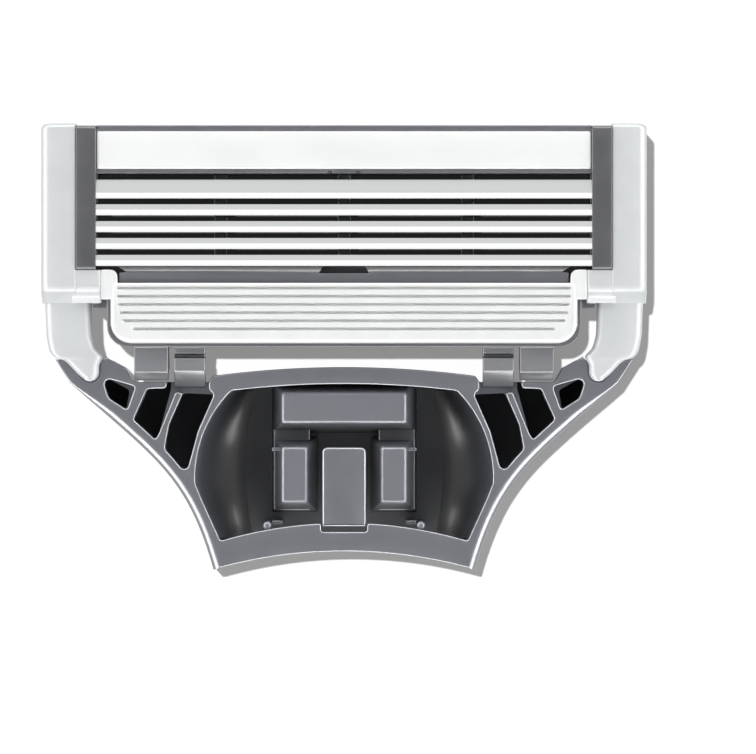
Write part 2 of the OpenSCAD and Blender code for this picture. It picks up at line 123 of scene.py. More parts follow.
def finish_of(name, colour, rough, grain, height, stretch=(1, 1, 1), tint=0.04, painted_shade=None,
              **shader):
    """A finish whose grain has a size and a height in mm, drawn out by stretch along X, Y and Z.
    Tint is how much the colour varies over a few grains. A painted shade, if given, is a depth and a
    height in mm between which the colour grows from nearly black, standing in for shade; the rest goes
    to the shader's sockets."""
    made = bpy.data.materials.new(name)
    made.use_nodes = True
    tree = made.node_tree
    tree.nodes.clear()
    place = node(tree, "ShaderNodeTexCoord").outputs["Object"]
    pulled = node(tree, "ShaderNodeMapping", {"Vector": place, "Scale": [1 / s for s in stretch]})
    grains = node(tree, "ShaderNodeTexNoise", {
        "Vector": pulled.outputs[0], "Scale": 1 / (grain * MM), "Detail": 3.0})
    cloud = node(tree, "ShaderNodeTexNoise", {
        "Vector": pulled.outputs[0], "Scale": 0.08 / (grain * MM), "Detail": 2.0})
    base = linear(colour)
    mixed = node(tree, "ShaderNodeMix", {
        0: cloud.outputs["Fac"],
        6: [c * (1 - tint) for c in base[:3]] + [1.0],
        7: [min(1, c * (1 + tint)) for c in base[:3]] + [1.0]}, data_type="RGBA")
    if painted_shade:
        depth = node(tree, "ShaderNodeSeparateXYZ", {"Vector": place}).outputs["Z"]
        light = node(tree, "ShaderNodeMapRange", {
            "Value": depth, "From Min": painted_shade[0] * MM, "From Max": painted_shade[1] * MM,
            "To Min": 0.05, "To Max": 1.0})
        mixed = node(tree, "ShaderNodeMix", {
            0: light.outputs[0], 6: (0, 0, 0, 1), 7: mixed.outputs[2]}, data_type="RGBA")
    worn = node(tree, "ShaderNodeMapRange", {
        "Value": cloud.outputs["Fac"], "To Min": rough * 0.9, "To Max": rough * 1.1})
    bump = node(tree, "ShaderNodeBump", {
        "Height": grains.outputs["Fac"], "Distance": height * MM, "Strength": 1.0})
    surface = node(tree, "ShaderNodeBsdfPrincipled", {
        "Base Color": mixed.outputs[2], "Roughness": worn.outputs[0],
        "Normal": bump.outputs[0], **shader})
    node(tree, "ShaderNodeOutputMaterial", {"Surface": surface.outputs[0]})
    return made


# %% [markdown]
# ## How the shapes are made
#
# A moulding, a bent strip and a strap can all be written as a row of closed outlines, one after
# another, joined by side faces and closed at both ends. The functions below make those rows.


# %% shape helpers
def loft(rings):
    """A closed shell through a row of outlines, as an array of rings by points by XYZ. Point j of
    ring i joins points j and j + 1 of ring i + 1; the first and last rings close the ends."""
    rings = np.asarray(rings, float)
    m, n = rings.shape[:2]
    i, j = np.meshgrid(np.arange(m - 1), np.arange(n), indexing="ij")
    k = (j + 1) % n
    sides = np.stack([i * n + j, i * n + k, (i + 1) * n + k, (i + 1) * n + j], -1).reshape(-1, 4)
    ends = [list(range(n)), list(range((m - 1) * n, m * n))]
    return rings.reshape(-1, 3), sides.tolist() + ends


def together(*shells):
    """Several closed shells as one, with the later ones' points numbered after the earlier ones'."""
    starts = np.cumsum([0] + [len(p) for p, f in shells])
    faces = [[v + s for v in face] for (p, f), s in zip(shells, starts) for face in f]
    return np.vstack([p for p, f in shells]), faces


def mirrored(shell):
    """The same shell on the other side of the centre line."""
    return shell[0] * [-1, 1, 1], shell[1]


def rounded(corners, radius, steps=6, closed=True):
    """An outline with each corner replaced by a curve that starts and ends radius away from it, or
    just under half a side if that is less: (1-t)^2 a + 2t(1-t) corner + t^2 b."""
    p = np.asarray(corners, float)
    r = np.broadcast_to(radius, len(p))[:, None]
    back, on = np.roll(p, 1, 0) - p, np.roll(p, -1, 0) - p
    if not closed:
        back[0] = on[-1] = 0
    a, b = (p + d * np.minimum(0.49, r / np.maximum(np.linalg.norm(d, axis=1), 1e-9)[:, None])
            for d in (back, on))
    t = np.linspace(0, 1, steps)[None, :, None]
    curve = (1 - t) ** 2 * a[:, None] + 2 * t * (1 - t) * p[:, None] + t**2 * b[:, None]
    return curve.reshape(-1, 2)


def thinned(outline, least=0.004):
    """The outline without points closer than least to the one before."""
    gap = np.linalg.norm(outline - np.roll(outline, 1, 0), axis=1)
    return outline[gap > least]


def arc(p, q, sag, steps):
    """Points on the arc from p to q that bulges by sag to the left: r = (c^2 + sag^2) / 2 sag,
    where c is half the chord."""
    p, q = np.array(p, float), np.array(q, float)
    c = np.linalg.norm(q - p) / 2
    u = (q - p) / (2 * c)
    v = np.array([-u[1], u[0]])
    r = (c * c + sag * sag) / (2 * sag)
    t = np.linspace(-1, 1, steps)[:, None] * math.asin(c / r)
    return (p + q) / 2 + v * (sag - r) + r * (v * np.cos(t) + u * np.sin(t))


def inset(outline, by):
    """The outline with each side moved inwards by its own distance, or all by one. Side k runs
    from point k to the next. With unit normals n0, n1 of the sides that meet at a point and
    c = n0.n1, the point moves by ((d0 - c d1) n0 + (d1 - c d0) n1) / (1 - c^2)."""
    side = np.roll(outline, -1, 0) - outline
    side /= np.linalg.norm(side, axis=1)[:, None]
    n1 = np.stack([-side[:, 1], side[:, 0]], 1)
    d1 = np.broadcast_to(np.asarray(by, float), len(outline))[:, None]
    n0, d0 = np.roll(n1, 1, 0), np.roll(d1, 1, 0)
    c = (n0 * n1).sum(1)[:, None]
    straight = c > 0.99
    below = np.where(straight, 1, 1 - c * c)
    bent = ((d0 - c * d1) * n0 + (d1 - c * d0) * n1) / below
    return outline + np.where(straight, (d0 + d1) * (n0 + n1) / 4, bent)


def edge_drop(inside, radius):
    """How far a quarter-round edge has fallen at a distance inside it: r - sqrt(r^2 - (r-d)^2)."""
    d = np.clip(radius - inside, 0, radius)
    return radius - np.sqrt(np.maximum(0, radius**2 - d**2))


def anticlockwise(outline):
    """The outline run with its inside on the left: its area is the sum of x dy - y dx, over 2."""
    after = np.roll(outline, -1, 0)
    turned = (outline[:, 0] * after[:, 1] - after[:, 0] * outline[:, 1]).sum() < 0
    return outline[::-1] if turned else outline


def slab(outline, low, high, edge, axis=2, draft=0.0, steps=5):
    """An outline drawn out along an axis from low to high, its walls leaning in by draft, with
    both edges rounded to a quarter circle."""
    outline = anticlockwise(outline)
    rise = edge * (1 - np.cos(np.linspace(0, np.pi / 2, steps)))
    levels = np.concatenate([low + rise, high - rise[::-1]])
    in_by = edge_drop(np.minimum(levels - low, high - levels), edge)
    in_by = in_by + draft * (levels - low) / (high - low)
    return loft([np.insert(inset(outline, d), axis, z, axis=1) for d, z in zip(in_by, levels)])


def bars(at, left, right, low, high, edge, axis=1, crown=0, steps=5):
    """A row of rounded rectangles across an axis: at, left, right, low and high may each vary along
    it. Edge is one radius, or four from the upper right edge anticlockwise. Crown lifts the middle
    of the top by crown (1 - u^2), with u from -1 to 1 across."""
    at, left, right, low, high = np.broadcast_arrays(
        *[np.asarray(a, float) for a in (at, left, right, low, high)])
    most = np.minimum(right - left, high - low) * 0.49
    edge = np.minimum(np.broadcast_to(np.reshape(edge, (-1, 1)), (4, len(at))), most)
    r = np.repeat(edge, steps, 0).T
    turn = np.concatenate([np.linspace(0, 90, steps) + 90 * q for q in range(4)])
    turn = np.radians(turn)
    at, left, right, low, high = (a[:, None] for a in (at, left, right, low, high))
    u = np.where(np.repeat([1, 0, 0, 1], steps), right - r, left + r) + r * np.cos(turn)
    top = np.repeat([1, 1, 0, 0], steps)
    z = np.where(top, high - r, low + r) + r * np.sin(turn)
    z = z + crown * top * (1 - ((2 * u - left - right) / (right - left)) ** 2)
    return loft(np.insert(np.stack([u, z], -1), axis, at, axis=2))


def piece(name, shell, finish, body, stands_for=None, sharp=35):
    """Turns a shell in mm into an object, closed and facing outwards, that moves with a CAD body
    and stands in for a CAD node. Edges that turn more than sharp degrees stay crisp."""
    points, faces = shell
    mesh = bpy.data.meshes.new(name)
    mesh.from_pydata(((points + [0, Y_SHIFT, 0]) * MM).tolist(), [], faces)
    work = bmesh.new()
    work.from_mesh(mesh)
    bmesh.ops.recalc_face_normals(work, faces=work.faces)
    work.to_mesh(mesh)
    work.free()
    mesh.shade_smooth()
    mesh.set_sharp_from_angle(angle=math.radians(sharp))
    mesh.materials.append(finish)
    made = bpy.data.objects.new(name, mesh)
    bpy.context.collection.objects.link(made)
    if body:
        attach(made, body)
    if stands_for:
        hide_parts(stands_for)
    print(f"{name}: {len(points)} points, {len(faces)} faces")
    return made


def painted(made, finish, test):
    """Gives a second finish to the faces that a test picks, from their middles in mm, their
    normals and their numbers."""
    faces = made.data.polygons
    middle, normal = np.empty(len(faces) * 3), np.empty(len(faces) * 3)
    faces.foreach_get("center", middle)
    faces.foreach_get("normal", normal)
    chosen = test(middle.reshape(-1, 3) / MM - [0, Y_SHIFT, 0], normal.reshape(-1, 3),
                  np.arange(len(faces)))
    slots = np.empty(len(faces), int)
    faces.foreach_get("material_index", slots)
    made.data.materials.append(finish)
    faces.foreach_set("material_index", np.where(chosen, len(made.data.materials) - 1, slots))
    made.data.update()
    print(f"{made.name}: {int(np.sum(chosen))} faces in {finish.name}")


# %% [markdown]
# ## Mouldings copied from the CAD
#
# The housing and the connector are injection mouldings with many ribs and pockets. Their CAD
# shapes are exact but knife-edged, and no real moulding is. A copy of each gets its edges
# rounded, as much as the room beside each edge allows, because the light that those edges
# catch is most of what one sees of such a part.


# %% rounding a moulding's edges
CRISP = math.radians(25)


def cross(a, b):
    """The cross product of flat vectors: a_x b_y - a_y b_x."""
    return a[..., 0] * b[..., 1] - a[..., 1] * b[..., 0]


def room_beside_edges(work):
    """For each edge, how far it can move into its faces before meeting another crisp edge, in mm.
    In a face's plane, a line from O along m meets the edge P + wE where w = (P-O) x m / (m x E)
    lies between 0 and 1, at a distance t = (P-O) x E / (m x E)."""
    room = np.full(len(work.edges), 9.0)
    for face in work.faces:
        points = np.array([loop.vert.co for loop in face.loops]) / MM
        which = np.array([loop.edge.index for loop in face.loops])
        crisp = np.array([loop.edge.calc_face_angle(0) > CRISP for loop in face.loops])
        side = np.roll(points, -1, 0) - points
        u = side[0] / np.linalg.norm(side[0])
        v = np.cross(face.normal, u)
        flat, side = points @ np.stack([u, v], 1), side @ np.stack([u, v], 1)
        inward = np.stack([-side[:, 1], side[:, 0]], 1) / np.linalg.norm(side, axis=1)[:, None]
        for share in (0.06, 0.5, 0.94):
            gap = flat[None] - (flat + share * side)[:, None]
            den = cross(inward[:, None], side[None])
            with np.errstate(divide="ignore", invalid="ignore"):
                t = cross(gap, side[None]) / den
                w = cross(gap, inward[:, None]) / den
            met = (t > 1e-4) & (w >= -0.01) & (w <= 1.01) & crisp[None] & (abs(den) > 1e-9)
            np.minimum.at(room, which, np.where(met, t, 9.0).min(1))
    ends = np.array([[v.index for v in e.verts] for e in work.edges])
    run = np.array([e.verts[1].co - e.verts[0].co for e in work.edges]) / MM
    long = np.linalg.norm(run, axis=1)
    crisp = np.array([e.calc_face_angle(0) > CRISP for e in work.edges])
    meet = (ends[:, None, :, None] == ends[None, :, None, :]).any((2, 3))
    turn = abs(run @ run.T) / (long[:, None] * long[None]) < 0.9
    beside = np.where(meet & turn & crisp[None], long[None], 9.0).min(1)
    return np.minimum(room, beside)


def crossings(mesh):
    """Where a face's outline crosses itself, in mm: the sign that two rounded edges ran into each
    other. Sides P + tS and Q + wR cross if t and w, found as in room_beside_edges, are inside 0..1."""
    points = np.empty(len(mesh.vertices) * 3)
    mesh.vertices.foreach_get("co", points)
    points = points.reshape(-1, 3) / MM
    found = []
    for face in mesh.polygons:
        if len(face.vertices) < 4:
            continue
        p = points[list(face.vertices)]
        side = np.roll(p, -1, 0) - p
        u = side[np.linalg.norm(side, axis=1).argmax()]
        u = u / np.linalg.norm(u)
        plane = np.stack([u, np.cross(face.normal, u)], 1)
        flat, run = p @ plane, side @ plane
        gap = flat[None] - flat[:, None]
        den = cross(run[:, None], run[None])
        with np.errstate(divide="ignore", invalid="ignore"):
            t, w = cross(gap, run[None]) / den, cross(gap, run[:, None]) / den
        inside = (abs(t - 0.5) < 0.499999) & (abs(w - 0.5) < 0.499999) & (abs(den) > 1e-12)
        first, other = np.nonzero(inside)
        found.append(p[first] + t[first, other, None] * side[first])
    return np.vstack(found)


def softened(name, finish, body, widest, wanted):
    """A copy of a CAD node with rounded edges. Wanted gives each edge's radius in mm from its middle,
    as an array. An edge takes at most 0.42 of the room beside it, and the radii near a crossing are
    cut by a third until nothing crosses, for at most six rounds."""
    made = CAD[name].copy()
    made.data = CAD[name].data.copy()
    made.name = name + "_moulding"
    bpy.context.collection.objects.link(made)
    work = bmesh.new()
    work.from_mesh(made.data)
    bmesh.ops.remove_doubles(work, verts=work.verts, dist=1e-6)
    bmesh.ops.dissolve_limit(work, angle_limit=math.radians(1), verts=work.verts, edges=work.edges)
    work.verts.index_update()
    work.edges.index_update()
    low, high = (np.array([e.verts[k].co for e in work.edges]) / MM for k in (0, 1))
    middles = (low + high) / 2 - [0, Y_SHIFT, 0]
    crisp = np.array([e.calc_face_angle(0) > CRISP for e in work.edges])
    radius = np.where(crisp, np.minimum(wanted(middles), room_beside_edges(work) * 0.42), 0)
    work.edges.layers.float.new("bevel_weight_edge")
    work.to_mesh(made.data)
    work.free()
    made.data.materials.clear()
    made.data.materials.append(finish)
    made.data.shade_smooth()
    soft = made.modifiers.new("edges", "BEVEL")
    soft.limit_method, soft.width, soft.segments = "WEIGHT", widest * MM, 4
    soft.use_clamp_overlap, soft.harden_normals = False, True
    weights = made.data.attributes["bevel_weight_edge"].data
    run = high - low
    for attempt in range(6):
        weights.foreach_set("value", radius / widest)
        made.data.update()
        made.update_tag()
        shaped = made.evaluated_get(bpy.context.evaluated_depsgraph_get())
        spots = crossings(shaped.data)
        if not len(spots):
            break
        gap = spots[:, None] - low[None]
        along = np.clip((gap * run).sum(2) / (run**2).sum(1), 0, 1)
        far = np.linalg.norm(gap - along[..., None] * run, axis=2).min(0)
        radius = np.where(far < 0.3, radius * 0.67, radius)
    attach(made, body)
    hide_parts(name)
    print(f"{made.name}: {crisp.sum()} crisp edges, radii {radius[crisp].min():.3f}"
          f" to {radius.max():.2f} mm, {len(spots)} crossings left after {attempt} rounds")
    return made


# %% [markdown]
# ## The part's finishes
#
# Some faces of one moulding get a second finish: lighter on the ledge and the stop tabs, darker
# on the connector's floor, and darkening with depth in the hollow. That stands in for light and
# shade, and isn't a colour of the real part.

# %% finishes
# Moulded ABS with spark-eroded grain: a satin that breaks up reflections.
housing_abs = finish_of("moulded_abs_dark", "#424348", 0.38, 0.12, 0.0015)
# The same ABS on the ledge and on the stop tabs, paler: painted highlights, where light would fall on
# them.
ledge_painted_highlight = finish_of("abs_ledge_painted_highlight", "#d4d4d6", 0.3, 0.12, 0.001)
tab_painted_highlight = finish_of("abs_tab_painted_highlight", "#77787b", 0.3, 0.12, 0.001)
# The same ABS on the connector's floor, painted nearly black: painted shade.
floor_painted_shade = finish_of("abs_floor_painted_shade", "#232428", 0.6, 0.12, 0.0015,
                      **{"Specular IOR Level": 0.25})
# The connector's slate ABS, smoother, so that its rounded edges catch the light.
connector_abs = finish_of("moulded_abs_slate", "#6e7077", 0.25, 0.12, 0.0015,
                          **{"Specular IOR Level": 0.95})
# The same slate with painted shade, darkening with depth.
hollow_painted_shade = finish_of("abs_hollow_painted_shade", "#6e7077", 0.34, 0.12, 0.0015, painted_shade=(1.2, 5.3))
# Soft elastomer with a fine matt: pale, with broad dull highlights.
pale_tpe = finish_of("elastomer_pale", "#c5c8ca", 0.48, 0.10, 0.001)
guard_tpe = finish_of("elastomer_guard", "#e4e5e5", 0.5, 0.10, 0.001)
# Waxy water-soluble polymer: nearly white, with a soft uneven sheen.
soap = finish_of("lubricating_polymer", "#f0f1f1", 0.42, 0.3, 0.002)
# Coated metal: dark, with a low sheen.
clip_coat = finish_of("coated_clip_metal", "#26272a", 0.42, 0.08, 0.001)
# Rolled stainless steel: lines along the blade draw its reflections out.
blade_flat = finish_of("rolled_steel", "#cbcdcd", 0.28, 0.03, 0.0004, (60, 1, 1), Metallic=1.0)
# Ground stainless steel: lines across the blade, and a paler colour than the flat, a painted
# highlight.
blade_ground_and_highlight = finish_of("ground_steel_and_highlight", "#eeeeee", 0.22, 0.02, 0.0004, (1, 40, 40), Metallic=1.0)
# Bent steel of the supports: duller, and painted darker as shade, since they are seen only deep in the
# gaps.
support_steel = finish_of("support_steel", "#5a5c5e", 0.4, 0.05, 0.0006, (30, 1, 1), Metallic=1.0)
for i in range(1, 6):
    support = CAD[f"blade_support_{i}"]
    support.data.materials.clear()
    support.data.materials.append(support_steel)

# %% [markdown]
# ## Blades
#
# Each blade is a strip of martensitic stainless steel, ground on both sides to a thin wedge.
# Four are alike and the last shows more of its width. A blade has two flats and two ground
# faces, so its section is worked out once and drawn along X, and the ground faces get their
# own finish.

# %% blades
TILT = math.radians(21)
BLADE_HALF, GROUND, THICK = 18.13, 0.40, 0.10
BLADE_W, LAST_BLADE_W = 0.80, 1.38


def blade(number, width):
    """One blade: its section, from the edge back, turned by the tilt and drawn out along X."""
    a = np.array([0, 0.12, GROUND, width, width, GROUND, 0.12])
    b = np.array([0, 0.38, 1, 1, -1, -1, -0.38]) * THICK / 2
    y = EDGE_1 + (number - 1) * PITCH + a * math.cos(TILT) + b * math.sin(TILT)
    z = EDGE_Z - a * math.sin(TILT) + b * math.cos(TILT)
    x = np.array([-1, 1])[:, None] * BLADE_HALF
    made = piece(f"blade_{number}_ground", loft(np.stack(np.broadcast_arrays(x, y, z), -1)),
                 blade_flat, "blade_unit", f"blade_{number}", sharp=3)
    made.data.materials.append(blade_ground_and_highlight)
    ground = [p.index for p in made.data.polygons if len(p.vertices) == 4
              and (p.center.y / MM - Y_SHIFT) < EDGE_1 + (number - 1) * PITCH + GROUND * 0.9]
    for index in ground:
        made.data.polygons[index].material_index = 1
    return made


for number in range(1, 6):
    blade(number, LAST_BLADE_W if number == 5 else BLADE_W)

# %% [markdown]
# ## Lubricating strip
#
# A bar of water-soluble polymer pressed into a pocket. It is extruded, so its top is slightly
# crowned and its ends are cut: a section along X with a crown is enough.

# %% lubricating strip
ends = np.array([0, 0.03, 0.1, 0.25])
strip_x = np.concatenate([ends - 17.14, 17.14 - ends[::-1]])
drop = np.concatenate([[0.16, 0.06, 0.02, 0], [0, 0.02, 0.06, 0.16]])
piece("lubricating_strip_crowned",
      bars(strip_x, STRIP_LOW + 0.03, STRIP_HIGH - 0.03, 6.97, 8.15 - drop, 0.1, 0, crown=0.12),
      soap, "blade_unit", "lubricating_strip")

# %% [markdown]
# ## Guard
#
# A soft bar with six grooves that stretches the skin ahead of the blades. The grooves stop
# short of the ends and get shorter towards the rounded lip. One height for each place on a grid
# of X and Y gives them all at once, where cutting six slots would leave sharp edges.

# %% guard
GROOVES = GUARD_TOP - 0.36 - 0.565 * np.arange(6)
GROOVE_HALF = np.array([15.75, 15.75, 15.68, 15.58, 15.37, 14.64])
LIP = 0.26
GUARD_END = GUARD_HALF - LIP


def smooth(t):
    """Runs from 0 to 1 as t does, level at both ends: t^2 (3 - 2t)."""
    t = np.clip(t, 0, 1)
    return t * t * (3 - 2 * t)


def guard_body():
    """The finned bar: one outline across it for each place along X, grooves and corners included."""
    end = np.concatenate([np.linspace(0, 0.3, 9), np.linspace(0.36, 2.6, 34)])
    x = np.concatenate([end - GUARD_END, np.linspace(-13.4, 13.4, 9), GUARD_END - end[::-1]])
    near = np.concatenate([c + np.linspace(-0.14, 0.14, 13) for c in GROOVES])
    y = np.unique(np.concatenate([
        np.linspace(LIP, LIP + 0.5, 12), near, [GUARD_TOP - 0.1, GUARD_TOP]]))
    corner = 1.45
    past = np.clip(abs(x) - GUARD_END + corner, 0, corner - 0.02)
    lift = corner - np.sqrt(np.maximum(0, corner**2 - past**2))
    fixed = 1.75
    yy = np.where(y[None] < fixed,
                  fixed - (fixed - y[None]) * (fixed - LIP - lift[:, None]) / (fixed - LIP), y[None])
    depth = np.zeros_like(yy)
    for c, half in zip(GROOVES, GROOVE_HALF):
        across = smooth(1.35 - abs(yy - c) / 0.09)
        along = smooth((half - abs(x[:, None])) / 0.12)
        depth = np.maximum(depth, 0.5 * across * along)
    z = EDGE_Z - depth - edge_drop(yy - LIP - lift[:, None], 0.34)
    z = z - edge_drop(GUARD_END - abs(x[:, None]), 0.3) - edge_drop(GUARD_TOP - yy, 0.05)
    z = np.maximum(z, SEAT_Z + 0.05)
    back = np.stack(np.broadcast_arrays(x[:, None], yy[:, [-1, 0]], SEAT_Z), -1)
    top = np.stack(np.broadcast_arrays(x[:, None], yy, z), -1)
    return loft(np.concatenate([top, back], 1))


shoulder = slab(rounded([(15.7, 3.5), (16.0, 3.3), (16.83, 3.3), (16.83, 5.37), (15.7, 5.37)],
                        [0.1, 0.1, 0.1, 0.1, 0.65]), SEAT_Z, 8.12, 0.1)
piece("guard_fins", together(guard_body(), shoulder, mirrored(shoulder)),
      guard_tpe, "blade_unit", "guard", sharp=50)

# %% [markdown]
# ## End caps and hinge arms
#
# Soft blocks close the ends of the head, and a soft strap runs from each to the connector's wing. The
# strap bends when the head pivots; here it is built in place and follows neither body. Both shapes are
# bars: for each Y, a left and a right edge and a height.

# %% end caps and hinge arms
def end_cap():
    """The outer block, with a rounded outer edge and corner, and the lower part inside it."""
    y = np.concatenate([[ARM_TOP, 3.08], np.linspace(3.15, 4.3, 12), [6, 10, 14],
                        CAP_TOP - np.linspace(0.6, 0, 14)])
    high = np.interp(y, [3.05, 3.3, 3.9, 4.2], [6.92, 7.25, 8.12, CAP_Z])
    high = high - edge_drop(CAP_TOP - y, 0.3)
    right = HALF_W - edge_drop(CAP_TOP - y, 0.42)
    small, wide = 0.08, 0.55
    outer = bars(y, CLIP_OUT + 0.02, right, 2.2, high, [wide, small, small, 0.3])
    y = np.concatenate([[ARM_TOP, 3.08], np.linspace(3.15, 4.3, 12), [5.2, 5.33]])
    high = np.interp(y, [3.05, 3.5, 3.9, 4.2], [7.4, 7.55, 8.02, 8.1])
    inner = bars(y, 16.83, CLIP_OUT + 0.3, 7.0, high, [0.05, 0.2, 0.05, 0.05])
    return together(outer, inner)


def hinge_arm():
    """A strap with its width given at each Y by its two outlines, both read downwards."""
    toe = arc((18.18, -2.15), (17.03, -1.75), 0.42, 24)
    low = toe[:, 1].argmin()
    outer = rounded([(20.78, 3.05), (20.7, 0.8), (20.48, -0.35), (20.08, -0.8), (19.43, -0.9),
                     (18.5, -1.9)], 0.35, closed=False)
    inner = rounded([(17.58, 3.05), (17.58, 2.2), (17.53, 0.8), (17.28, -0.1), (16.68, -0.66),
                     (17.03, -1.2), (17.03, -1.5)], 0.3, closed=False)
    outer = np.vstack([outer, toe[:low + 1]])
    inner = np.vstack([inner, toe[low:][::-1]])
    turn = np.linspace(0, np.pi / 2, 12)
    y = np.concatenate([np.linspace(ARM_TOP, toe[low, 1] + 0.25, 70),
                        toe[low, 1] + 0.25 * (1 - np.sin(turn[1:]))])
    read = lambda side: np.interp(-y, -side[:, 1], side[:, 0])
    return bars(y, read(inner), read(outer) + 1e-3, ARM_LOW, ARM_HIGH, 0.5)


for side, shape in (("right", lambda s: s), ("left", mirrored)):
    piece(f"end_cap_{side}_soft", shape(end_cap()), pale_tpe, "blade_unit", f"end_cap_{side}")
    arm = piece(f"hinge_arm_{side}_soft", shape(hinge_arm()), pale_tpe, None, f"hinge_arm_{side}")
    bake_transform(arm)

# %% [markdown]
# ## Clips
#
# Each clip is a strip of sheet metal folded round the head to hold the blades down. Its path
# is drawn once outside and once inside, as a C, and given its width along X.

# %% clips
over = rounded([(6.46, 1.95), (5.36, 1.95), (5.36, DEPTH), (15.348, DEPTH), (15.348, 1.95),
                (14.248, 1.95)], 0.26, closed=False)
under = rounded([(14.248, 2.17), (15.128, 2.17), (15.128, 8.18), (5.58, 8.18), (5.58, 2.17),
                 (6.46, 2.17)], 0.08, closed=False)
clip = slab(thinned(np.vstack([over, under])), CUT_HALF, CLIP_OUT, 0.05, axis=0)
piece("clip_right_bent", clip, clip_coat, "blade_unit", "clip_right")
piece("clip_left_bent", mirrored(clip), clip_coat, "blade_unit", "clip_left")

# %% [markdown]
# ## Latch tongue
#
# A flat tongue, moulded with the connector, that gives way when the handle clicks in.

# %% latch tongue
tongue = rounded([(-1.53, -12.5), (1.53, -12.5), (1.53, -6.97), (-1.53, -6.97)],
                 [0.1, 0.1, 0.42, 0.42])
piece("latch_tongue_soft", slab(tongue, 4.95, 5.85, 0.16), connector_abs, "latch_tongue",
      "latch_tongue")

# %% [markdown]
# ## Housing
#
# The frame that holds blades, strip and guard, with a copy of its CAD shape made soft-edged.

# %% housing
EDGE_ROUND, WIDEST_ROUND = 0.08, 0.3
housing = softened("housing", housing_abs, "blade_unit", WIDEST_ROUND,
                   lambda m: np.full(len(m), EDGE_ROUND))
# The ledge and the stop tabs take the paler finish: painted highlights.
painted(housing, ledge_painted_highlight, lambda m, n, k: (n[:, 1] > 0.5) & (n[:, 2] > 0.5) & (
    m[:, 1] > 5.27) & (m[:, 1] < 5.62))
painted(housing, tab_painted_highlight, lambda m, n, k: (n[:, 2] > 0.45) & (m[:, 1] < 0) & (
    abs(m[:, 0]) > 9.5) & (abs(m[:, 0]) < 14.7))

# %% [markdown]
# ## Connector
#
# The connector is one injection moulding: a back shell that lifts towards the wing tips, walls
# and ribs standing on it, a band across the mouth, and a drafted tower in the hollow. It is
# built as plates, each an outline with holes and rounded upper edges, stacked where the
# outline changes, because that keeps every rib's edge radius even however it curves.


# %% plates
def within(points, outline):
    """Which points are inside an outline: a line to the right crosses its sides an odd number of
    times."""
    x, y = points[:, 0, None], points[:, 1, None]
    (ax, ay), (bx, by) = outline.T, np.roll(outline, -1, 0).T
    with np.errstate(divide="ignore", invalid="ignore"):
        met = ((ay > y) != (by > y)) & (x < (bx - ax) * (y - ay) / (by - ay) + ax)
    return met.sum(1) % 2 == 1


def fill(outlines, extra):
    """Triangles that fill the first outline, leave the others open and use the extra points."""
    points = np.vstack([*outlines, extra])
    starts = np.cumsum([0] + [len(o) for o in outlines])
    sides = [(s + k, s + (k + 1) % len(o)) for s, o in zip(starts, outlines) for k in range(len(o))]
    made = delaunay_2d_cdt([Vector(p) for p in points], sides, [], 0, 1e-7)
    if len(made[0]) != len(points):
        lost = [v for v, o in zip(made[0], made[3]) if not o]
        raise ValueError(f"outlines cross at {[tuple(round(c, 2) for c in v) for v in lost]}")
    faces = np.array(made[2])
    middle = points[faces].mean(1)
    keep = within(middle, outlines[0])
    for hole in outlines[1:]:
        keep &= ~within(middle, hole)
    return faces[keep]


def plate(outer, holes, low, high, edges, foot=0.0):
    """A closed plate between two heights, each a number or a function of X. Edges has the upper
    edge's radius for each outline, as a number or one for each side; foot is the lower edge's. At
    a depth h below the top, a side with radius r is inset by r - sqrt(r^2 - (r-h)^2)."""
    curved = callable(low)
    low, high = (f if callable(f) else (lambda x, f=f: np.full_like(x, f)) for f in (low, high))
    outlines = [anticlockwise(o) for o in [outer, *holes]]
    turn = np.linspace(0, np.pi / 2, 9)
    most = max(np.max(r) for r in edges)
    rise = foot * (1 - np.cos(turn)) if foot else [0]
    depth = most * (1 - np.sin(turn)) if most else [0]
    levels = [(h, low, h, [foot] * len(outlines)) for h in rise]
    levels += [(h, high, -h, edges) for h in depth]
    rows = []
    for h, base, up, radii in levels:
        flat = np.vstack([inset(o, edge_drop(h, np.asarray(r, float)) * (1 if k == 0 else -1))
                          for k, (o, r) in enumerate(zip(outlines, radii))])
        rows.append(np.column_stack([flat, base(flat[:, 0]) + up]))
    sizes = [len(o) for o in outlines]
    count, starts = sum(sizes), np.cumsum([0] + sizes)[:-1]
    faces = []
    for s, n in zip(starts, sizes):
        k = np.arange(n)
        for row in range(len(rows) - 1):
            a, b = s + k + row * count, s + (k + 1) % n + row * count
            faces += np.stack([a, b, b + count, a + count], 1).tolist()
    grid = np.stack(np.meshgrid(np.linspace(-20, 20, 41), np.linspace(-15, -1, 15)), -1)
    extra = grid.reshape(-1, 2) + [0.013, 0.017] if curved else np.empty((0, 2))
    for k, o in enumerate(outlines):
        extra = extra[within(extra, inset(o, 0.7 if k == 0 else -0.4)) == (k == 0)]
    points = list(rows)
    for row, height in ((0, low), (len(rows) - 1, high)):
        tris = fill(np.split(rows[row][:, :2], starts[1:]), extra)
        after = sum(len(p) for p in points)
        faces += np.where(tris < count, tris + row * count, tris - count + after).tolist()
        points.append(np.column_stack([extra, height(extra[:, 0])]))
    return np.vstack(points), faces


# %% [markdown]
# ## The connector's outlines
#
# All points are in millimetres on the right half. A half outline is read from the top centre
# round to the bottom centre. The windows between the ribs are open pockets. The second and third
# join the rim's outline, because the inner stop tab comes down through the rim there.

